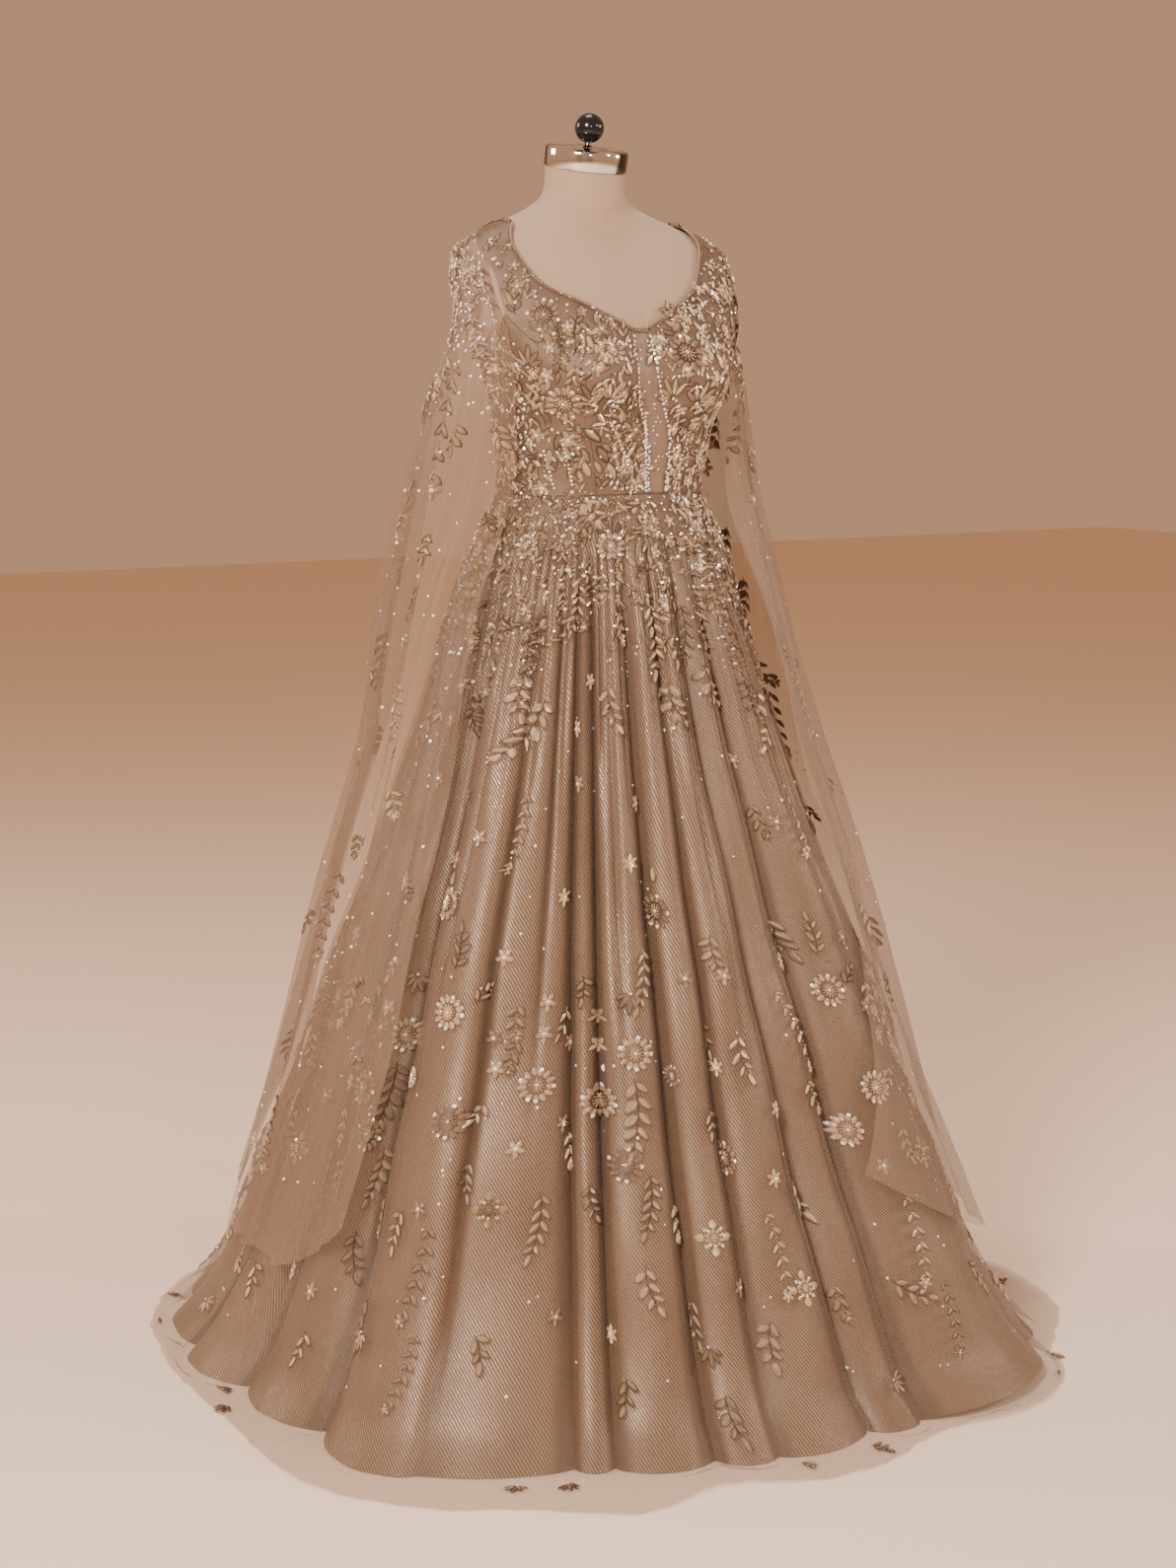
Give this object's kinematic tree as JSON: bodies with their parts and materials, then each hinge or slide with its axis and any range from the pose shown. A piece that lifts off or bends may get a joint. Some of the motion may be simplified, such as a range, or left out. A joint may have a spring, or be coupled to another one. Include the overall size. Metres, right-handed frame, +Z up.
{
  "type": "embroidered gown on a dress form",
  "caption": "Floor-length evening gown with a seamed sweetheart bodice, full gathered skirt under net and trailing cape sleeves, worn by a limbless dress form on a stand.",
  "frame": {"origin": "on the floor, in the middle of the underside of the stand's round base", "axes": "+Z up, -Y towards the front of the gown, +X towards the wearer's left"},
  "size_m": [1.2985, 1.3197, 1.6955],
  "materials": {
    "bodice_satin": "champagne satin under dense embroidery",
    "skirt_lame": "shimmering taupe metallic weave",
    "fine_net": "sheer taupe net with embroidered flowers",
    "form_linen": "smooth beige cover",
    "polished_chrome": "polished",
    "black_knob": "glossy black",
    "painted_steel": "black paint"
  },
  "bodies": {
    "root": {"bodice_gusset": "bodice_satin", "bodice_front_left": "bodice_satin", "bodice_front_right": "bodice_satin", "bodice_side_left": "bodice_satin", "bodice_side_right": "bodice_satin", "bodice_back_left": "bodice_satin", "bodice_back_right": "bodice_satin", "neck_binding": "bodice_satin", "skirt_front_left": "skirt_lame", "skirt_front_right": "skirt_lame", "skirt_back_left": "skirt_lame", "skirt_back_right": "skirt_lame", "overlay_front_left": "fine_net", "overlay_front_right": "fine_net", "overlay_back_left": "fine_net", "overlay_back_right": "fine_net", "cape_sleeve_left": "fine_net", "cape_sleeve_right": "fine_net", "form_body": "form_linen", "form_arm_plate_left": "form_linen", "form_arm_plate_right": "form_linen", "form_neck_cap": "polished_chrome", "form_knob_stem": "polished_chrome", "form_knob": "black_knob", "stand_pole": "painted_steel", "stand_base": "painted_steel"}
  },
  "joints": []
}
